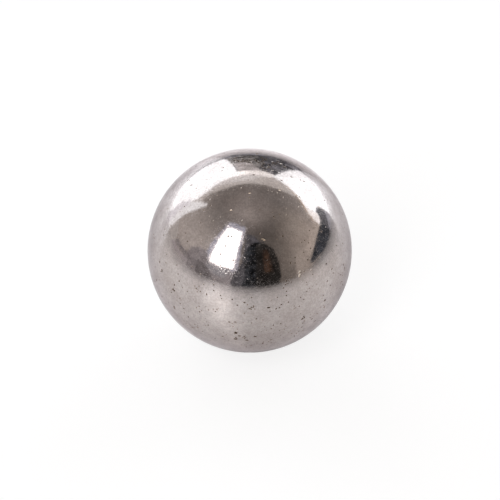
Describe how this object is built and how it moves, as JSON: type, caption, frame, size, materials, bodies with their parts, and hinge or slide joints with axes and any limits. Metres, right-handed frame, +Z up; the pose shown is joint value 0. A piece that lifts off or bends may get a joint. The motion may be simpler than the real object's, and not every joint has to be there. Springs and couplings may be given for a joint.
{
  "type": "steel ball",
  "caption": "Solid polished steel ball, worn and finely pitted, for bench and desk use.",
  "frame": {"origin": "the centre of the ball", "axes": "+Z up through the top of the ball, away from the mount seat; +X to the right and +Y to the back as seen from the front"},
  "size_m": [0.025, 0.025, 0.025],
  "materials": {
    "polished_steel": "polished bare steel, slightly hazed by handling, with small dark pits and fine scratches all over"
  },
  "bodies": {
    "root": {"ball": "polished_steel"}
  },
  "joints": []
}
